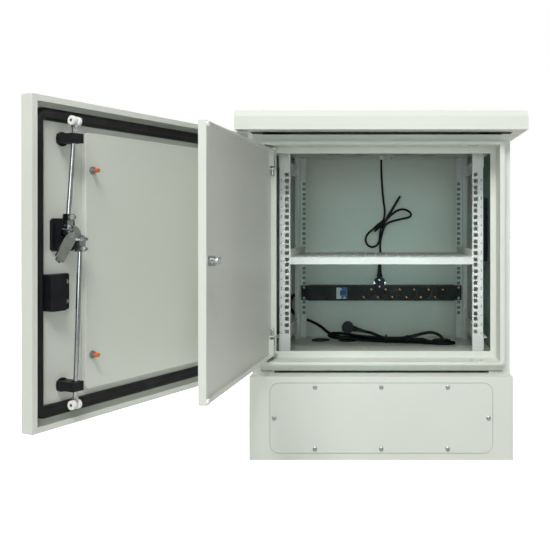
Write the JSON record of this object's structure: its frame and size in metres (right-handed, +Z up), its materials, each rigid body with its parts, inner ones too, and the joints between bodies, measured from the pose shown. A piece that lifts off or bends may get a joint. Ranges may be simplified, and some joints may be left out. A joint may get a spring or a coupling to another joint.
{
  "type": "roadside utility cabinet",
  "caption": "Outdoor steel cabinet on a plinth with an overhanging roof, outer and inner door, rod lock, rack rails, shelf, power strip, fans and cable entries.",
  "frame": {"origin": "centre of the four floor anchors, on the plinth's underside", "axes": "+X to the right seen from the front, +Y to the back, +Z up; the doors open towards -Y"},
  "size_m": [0.9169, 1.1404, 0.796],
  "materials": {
    "paint": "satin powder coat",
    "rack_paint": "zinc plated, light satin",
    "fan_plastic": "moulded, light grey",
    "black_plastic": "moulded, fine grain",
    "black_rubber": "matte",
    "steel": "zinc plated",
    "bright_steel": "bright plated",
    "lever_metal": "black powder coat",
    "white_plastic": "moulded",
    "breaker_shell": "moulded",
    "breaker_blue": "moulded",
    "bar_metal": "dark anodised"
  },
  "bodies": {
    "cabinet": {"plinth": "paint", "plinth_cover": "paint", "plinth_cover_screws": "steel", "side_panel_left": "paint", "side_panel_right": "paint", "rear_panel": "paint", "floor_panel": "paint", "ceiling_panel": "paint", "front_frame": "paint", "roof": "paint", "rail_front_left": "rack_paint", "rail_front_right": "rack_paint", "rail_rear_left": "rack_paint", "rail_rear_right": "rack_paint", "rail_braces": "rack_paint", "shelf": "rack_paint", "strip_housing": "black_plastic", "strip_sockets": "black_plastic", "breaker_body": "breaker_shell", "floor_grommets": "black_rubber", "fan_housings": "fan_plastic", "fan_guards": "fan_plastic", "fan_cord_gland": "white_plastic", "fan_cord": "black_rubber", "fan_cord_hank": "black_rubber", "fan_cord_tail": "black_rubber", "fan_plug": "black_plastic", "strip_cord": "black_rubber", "strip_cord_hank": "black_rubber", "strip_cord_tail": "black_rubber", "strip_plug": "black_plastic", "body_hinge_leaves": "steel", "wall_bar": "bar_metal", "inner_hinge_lugs": "steel"},
    "outer_door": {"outer_door_pan": "paint", "door_gasket": "black_rubber", "door_inner_panel": "paint", "panel_studs": "steel", "door_hinge_leaves": "steel", "handle_plate": "black_plastic", "upper_clamp": "black_plastic", "lower_clamp": "black_plastic", "rod_guides": "black_plastic"},
    "handle": {"lock_spindle": "bright_steel", "lock_cam": "bright_steel"},
    "lever": {"handle_lever": "lever_metal"},
    "upper_lock_rod": {"upper_rod": "bright_steel"},
    "lower_lock_rod": {"lower_rod": "bright_steel"},
    "upper_lock_roller": {"upper_roller": "white_plastic"},
    "lower_lock_roller": {"lower_roller": "white_plastic"},
    "inner_door": {"inner_door_pan": "paint", "inner_door_bumpers": "white_plastic", "inner_hinge_brackets": "paint", "inner_lock_barrel": "bright_steel"},
    "inner_lock": {"inner_lock_cam": "bright_steel"},
    "hinge_pin_upper": {"inner_pin_upper": "bright_steel"},
    "hinge_pin_lower": {"inner_pin_lower": "bright_steel"},
    "fan_left": {"fan_rotor_left": "fan_plastic"},
    "fan_right": {"fan_rotor_right": "fan_plastic"},
    "toggle": {"breaker_toggle": "breaker_blue"}
  },
  "joints": [
    {"name": "outer_door_swing", "type": "hinge", "parent": "cabinet", "child": "outer_door", "pos_m": [-0.306, -0.26, 0.47], "axis": [0, 0, -1], "range_deg": [-115, 3.6]},
    {"name": "inner_door_swing", "type": "hinge", "parent": "cabinet", "child": "inner_door", "pos_m": [-0.2579, -0.22, 0.47], "axis": [0, 0, -1], "range_deg": [-95.01, 3]},
    {"name": "handle_turn", "type": "hinge", "parent": "outer_door", "child": "handle", "pos_m": [-0.5215, -0.73989, 0.52], "axis": [0.9063, -0.4226, 0], "range_deg": [-54, 30]},
    {"name": "lever_lift", "type": "hinge", "parent": "handle", "child": "lever", "pos_m": [-0.56618, -0.71905, 0.52], "axis": [0.2484, 0.5327, 0.809], "range_deg": [-25, 35]},
    {"name": "upper_rod_pivot", "type": "hinge", "parent": "handle", "child": "upper_lock_rod", "pos_m": [-0.52731, -0.75235, 0.52999], "axis": [0.9063, -0.4226, 0], "range_deg": [-32.5, 58]},
    {"name": "lower_rod_pivot", "type": "hinge", "parent": "handle", "child": "lower_lock_rod", "pos_m": [-0.51569, -0.72742, 0.51001], "axis": [0.9063, -0.4226, 0], "range_deg": [-32, 57]},
    {"name": "upper_roller_spin", "type": "hinge", "parent": "upper_lock_rod", "child": "upper_lock_roller", "pos_m": [-0.52065, -0.73808, 0.7105], "axis": [-0.421, -0.9029, 0.0869], "continuous": true},
    {"name": "lower_roller_spin", "type": "hinge", "parent": "lower_lock_rod", "child": "lower_lock_roller", "pos_m": [-0.52065, -0.73808, 0.2285], "axis": [-0.4223, -0.9055, 0.0417], "continuous": true},
    {"name": "inner_lock_turn", "type": "hinge", "parent": "inner_door", "child": "inner_lock", "pos_m": [-0.28578, -0.72228, 0.472], "axis": [-0.9962, 0.0872, 0], "range_deg": [-180, 0]},
    {"name": "upper_pin_slide", "type": "slide", "parent": "inner_door", "child": "hinge_pin_upper", "axis": [0, 0, -1], "range_m": [0, 0.006]},
    {"name": "lower_pin_slide", "type": "slide", "parent": "inner_door", "child": "hinge_pin_lower", "axis": [0, 0, 1], "range_m": [0, 0.006]},
    {"name": "fan_left_spin", "type": "hinge", "parent": "cabinet", "child": "fan_left", "pos_m": [-0.095, 0.13, 0.752], "axis": [0, 0, 1], "continuous": true},
    {"name": "fan_right_spin", "type": "hinge", "parent": "cabinet", "child": "fan_right", "pos_m": [0.095, 0.13, 0.752], "axis": [0, 0, 1], "continuous": true},
    {"name": "breaker_toggle_turn", "type": "hinge", "parent": "cabinet", "child": "toggle", "pos_m": [-0.113, 0.243, 0.33232], "axis": [1, 0, 0], "range_deg": [-30, 30]}
  ],
  "couplings": [
    {"joint": "inner_door_swing", "follows": "outer_door_swing", "ratio": 0.82609},
    {"joint": "upper_rod_pivot", "follows": "handle_turn", "ratio": -1.06},
    {"joint": "lower_rod_pivot", "follows": "handle_turn", "ratio": -1.04}
  ]
}
